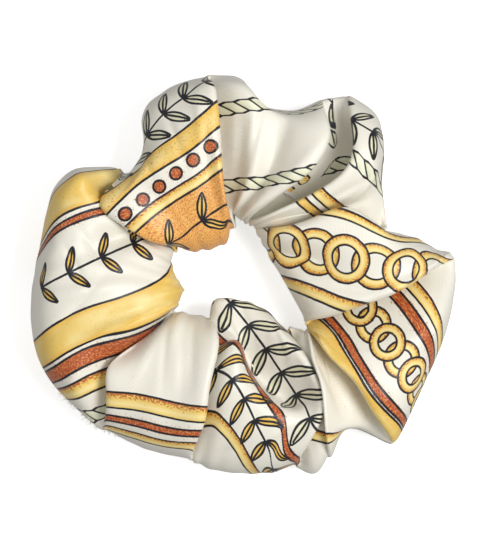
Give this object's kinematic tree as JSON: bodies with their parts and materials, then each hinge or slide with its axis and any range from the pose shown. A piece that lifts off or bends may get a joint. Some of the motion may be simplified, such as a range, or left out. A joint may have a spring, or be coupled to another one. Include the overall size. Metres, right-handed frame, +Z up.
{
  "type": "scrunchie",
  "caption": "Hair elastic in a gathered tube of printed satin; its loop stretches open over hair and draws closed again.",
  "frame": {"origin": "middle of the ring's footprint, on the surface it lies on; the elastic's loop is round about the Z axis", "axes": "+Z up, +X along the wider way across, the way the ring is drawn open, +Y away from the viewer"},
  "size_m": [0.1153, 0.1088, 0.0276],
  "materials": {
    "satin": "satin weave with a printed pattern",
    "elastic": "woven elastic, matt",
    "thread": "polyester sewing thread"
  },
  "bodies": {
    "left_side": {"cover_left": "satin", "elastic_band": "elastic", "elastic_splice_thread": "thread", "long_seam_thread_left": "thread", "closing_seam_thread": "thread"},
    "right_side": {"cover_right": "satin", "long_seam_thread_right": "thread"}
  },
  "joints": [
    {"name": "stretch_open", "type": "slide", "parent": "left_side", "child": "right_side", "axis": [1, 0, 0], "range_m": [0, 0.055], "stiffness_N_per_m": 90, "deforming": ["elastic_band"]}
  ]
}
